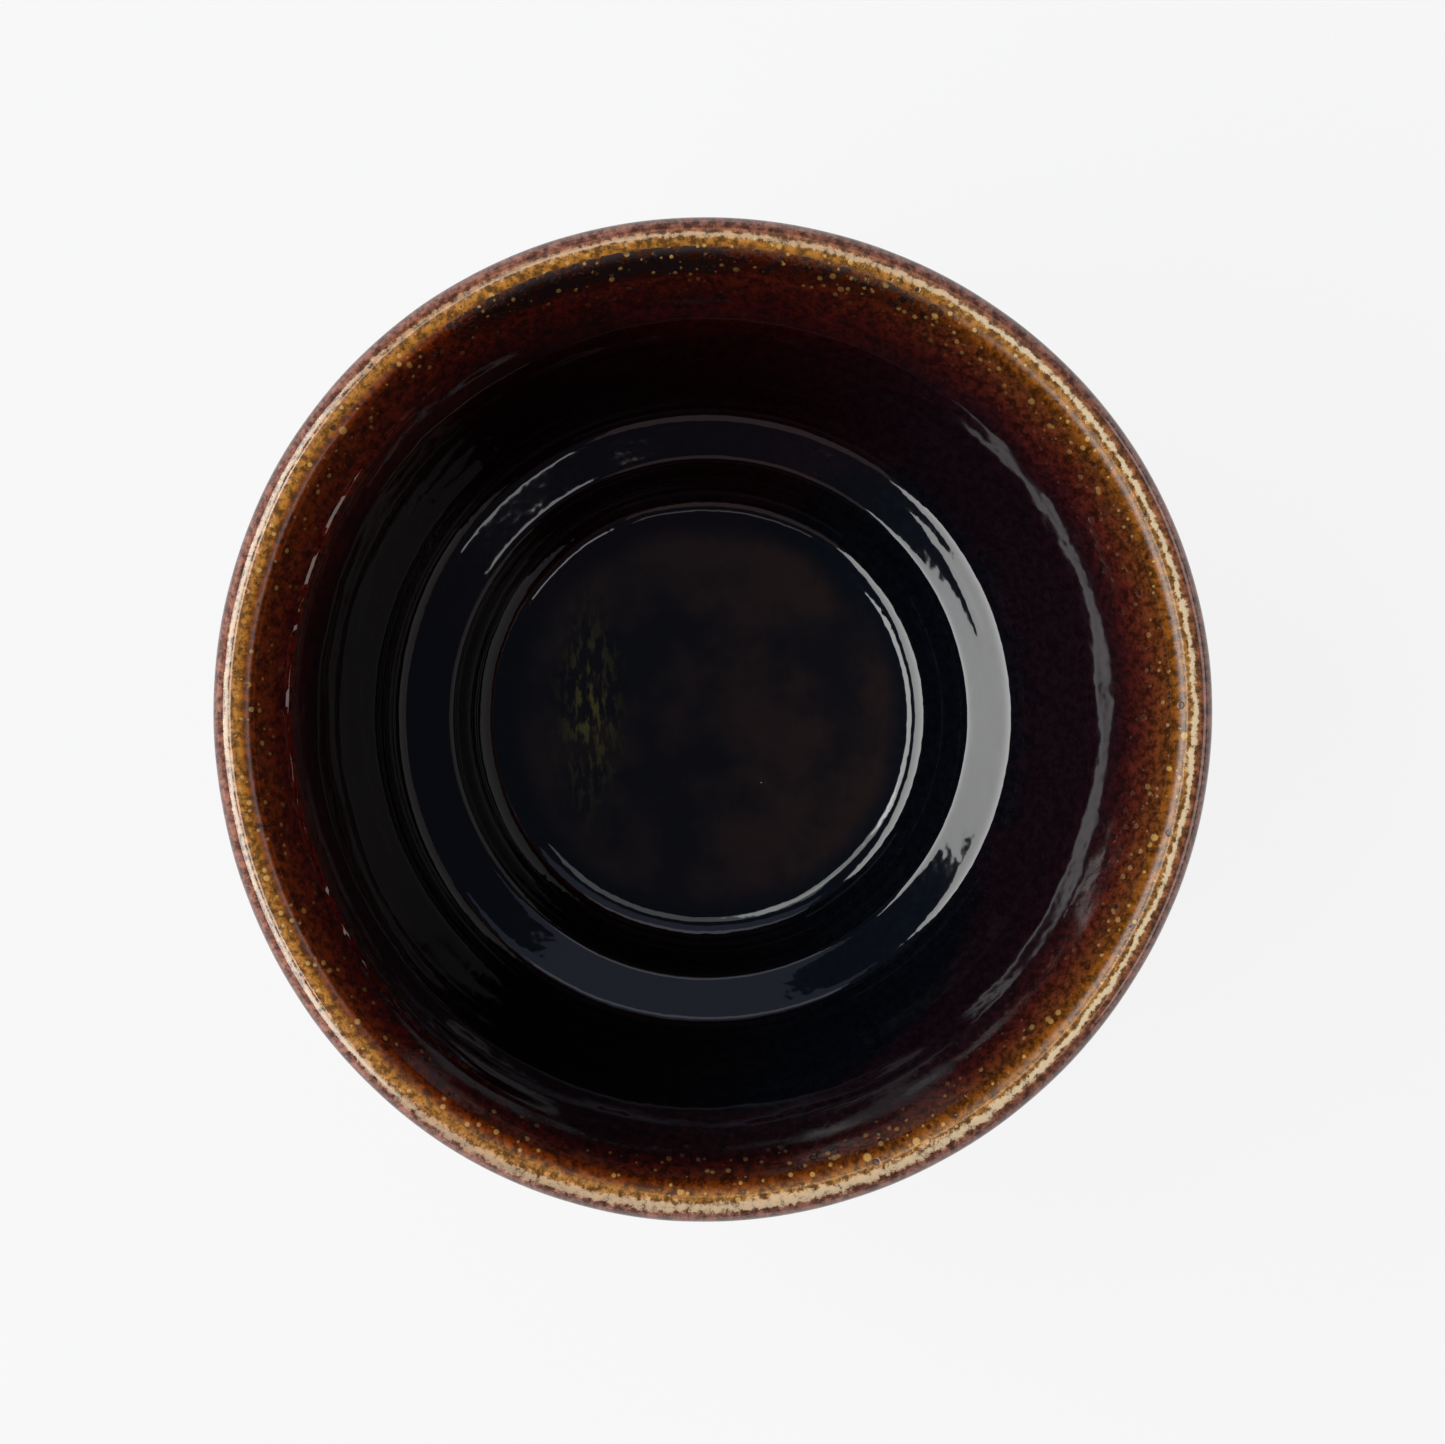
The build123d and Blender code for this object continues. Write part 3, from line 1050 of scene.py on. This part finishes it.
def makeFloor():
    mesh = bpy.data.meshes.new("floor")
    bm = bmesh.new()
    bmesh.ops.create_circle(bm, cap_ends=True, segments=96, radius=studio["floorRadius"])
    bm.to_mesh(mesh)
    bm.free()
    floor = bpy.data.objects.new("floor", mesh)
    bpy.context.scene.collection.objects.link(floor)
    material, tree, shader = newMaterial("paleFloor")
    shader.inputs["Base Color"].default_value = (studio["floorShade"],) * 3 + (1,)
    shader.inputs["Roughness"].default_value = 0.9
    shader.inputs["Specular IOR Level"].default_value = 0.0
    shader.inputs["Emission Color"].default_value = (1, 1, 1, 1)
    shader.inputs["Emission Strength"].default_value = studio["floorGlow"]
    clear = addNode(tree, "ShaderNodeBsdfTransparent").outputs[0]
    below = addNode(tree, "ShaderNodeNewGeometry").outputs["Backfacing"]
    wires = {0: below, 1: shader.outputs[0], 2: clear}
    mixed = addNode(tree, "ShaderNodeMixShader", wires).outputs[0]
    tree.links.new(mixed, tree.nodes["Material Output"].inputs["Surface"])
    mesh.materials.append(material)


def addPanel(name, azimuth, tilt, width, height, radiance, nearEdge, colour):
    # a flat softbox that faces the cup, nearEdge times as bright along its upper edge
    light = bpy.data.lights.new(name, "AREA")
    light.shape = "RECTANGLE"
    light.size, light.size_y = width, height
    light.energy = radiance * math.pi * width * height
    light.color = colour
    if nearEdge != 1.0:
        light.use_nodes = True
        tree = light.node_tree
        across = addNode(tree, "ShaderNodeNewGeometry").outputs["Parametric"]
        across = addNode(tree, "ShaderNodeSeparateXYZ", {0: across}).outputs["Y"]
        strength = ramp(tree, across, 0.0, 1.0, 1.0, nearEdge)
        tree.links.new(strength, tree.nodes["Emission"].inputs["Strength"])
    panel = bpy.data.objects.new(name, light)
    bpy.context.scene.collection.objects.link(panel)
    a, t = math.radians(azimuth), math.radians(tilt)
    away = Vector((math.cos(a) * math.sin(t), math.sin(a) * math.sin(t), math.cos(t)))
    panel.location = away * studio["panelDistance"] + Vector((0, 0, studio["aimHeight"]))
    panel.rotation_euler = away.to_track_quat("Z", "Y").to_euler()
    panel.visible_camera = False


def makeLights():
    for name, values in studio["panels"].items():
        addPanel(name, *values)
    world = bpy.data.worlds.new("room")
    bpy.context.scene.world = world
    world.use_nodes = True
    tree = world.node_tree
    room = tree.nodes["Background"]
    room.inputs["Color"].default_value = (*studio["roomColour"], 1)
    room.inputs["Strength"].default_value = studio["roomLight"]
    wires = {"Color": (1, 1, 1, 1), "Strength": studio["backdrop"]}
    seen = addNode(tree, "ShaderNodeBackground", wires).outputs[0]
    direct = addNode(tree, "ShaderNodeLightPath").outputs["Is Camera Ray"]
    wires = {0: direct, 1: room.outputs[0], 2: seen}
    mixed = addNode(tree, "ShaderNodeMixShader", wires).outputs[0]
    tree.links.new(mixed, tree.nodes["World Output"].inputs["Surface"])


cameraSet = {
    "above": 400 * mm,  # over the lip
    "aside": -2.4 * mm,
    "lens": 126.4,
    "shiftX": 0.029,
    "shiftY": -0.003,
}


def makeCamera():
    data = bpy.data.cameras.new("camera")
    data.lens = cameraSet["lens"]
    data.sensor_width = 36
    data.shift_x, data.shift_y = cameraSet["shiftX"], cameraSet["shiftY"]
    data.clip_start = 0.01
    camera = bpy.data.objects.new("camera", data)
    bpy.context.scene.collection.objects.link(camera)
    camera.location = (cameraSet["aside"], 0, cup["height"] + cameraSet["above"])
    bpy.context.scene.camera = camera


makeFloor()
makeLights()
makeCamera()
bpy.context.scene.view_settings.view_transform = "Standard"
print("floor, light and camera set")
